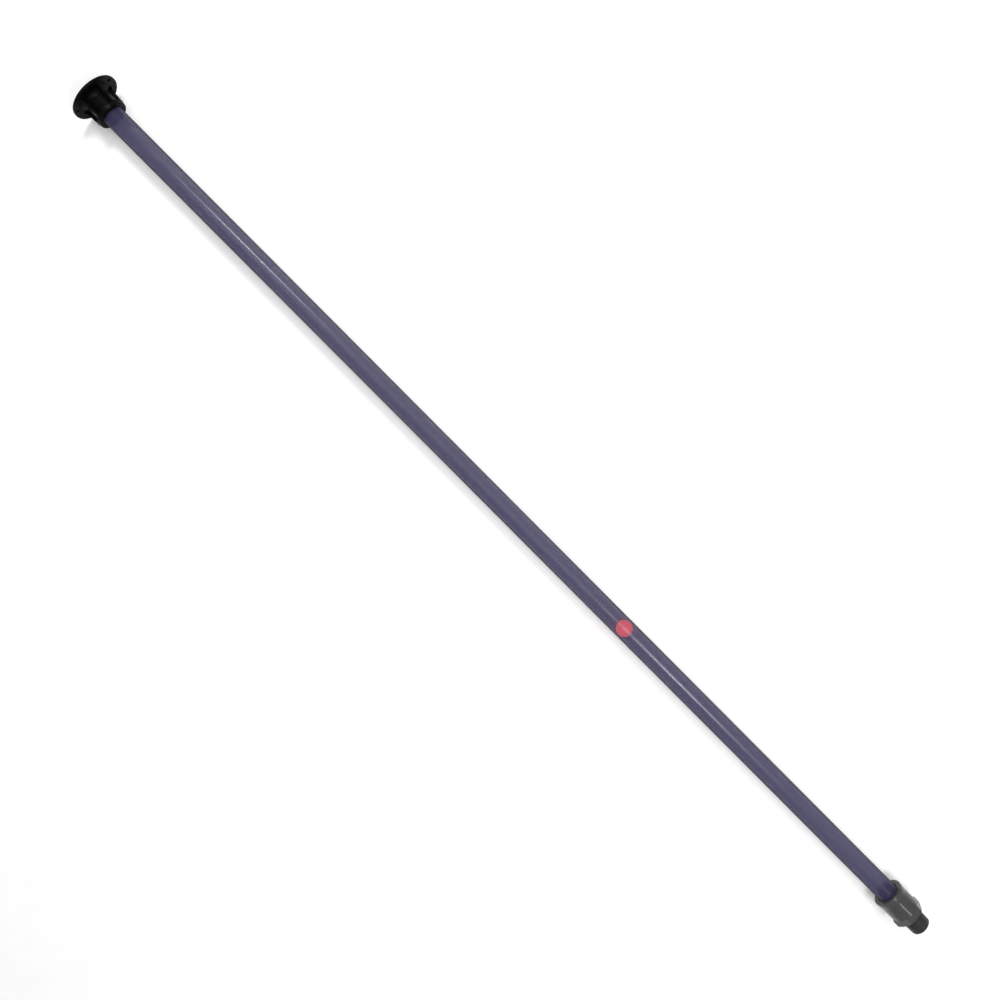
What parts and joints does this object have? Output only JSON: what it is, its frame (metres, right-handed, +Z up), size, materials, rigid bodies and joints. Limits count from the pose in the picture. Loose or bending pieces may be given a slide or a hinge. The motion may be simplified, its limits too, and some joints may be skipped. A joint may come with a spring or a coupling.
{
  "type": "float-ball sight tube",
  "caption": "Long clear pipe with a loose red float ball inside, a screw-down end flange and a grey male pipe adapter, for reading a liquid level.",
  "frame": {"origin": "middle of the foot of the box, on the plane it lies on", "axes": "+X along the pipe from the flange to the threaded end, +Z up"},
  "size_m": [1.1588, 0.0516, 0.0516],
  "materials": {
    "clear_pipe": "clear, smoky violet, glossy",
    "flange_plastic": "moulded, satin black",
    "adapter_plastic": "moulded, satin dark grey",
    "ball_plastic": "red, smooth"
  },
  "bodies": {
    "tube": {"clear_pipe": "clear_pipe", "mounting_flange": "flange_plastic", "male_adapter": "adapter_plastic"},
    "ball": {"float_ball": "ball_plastic"}
  },
  "joints": [
    {"name": "float_slide", "type": "slide", "parent": "tube", "child": "ball", "axis": [1, 0, 0], "range_m": [-0.7228, 0.3929]}
  ]
}
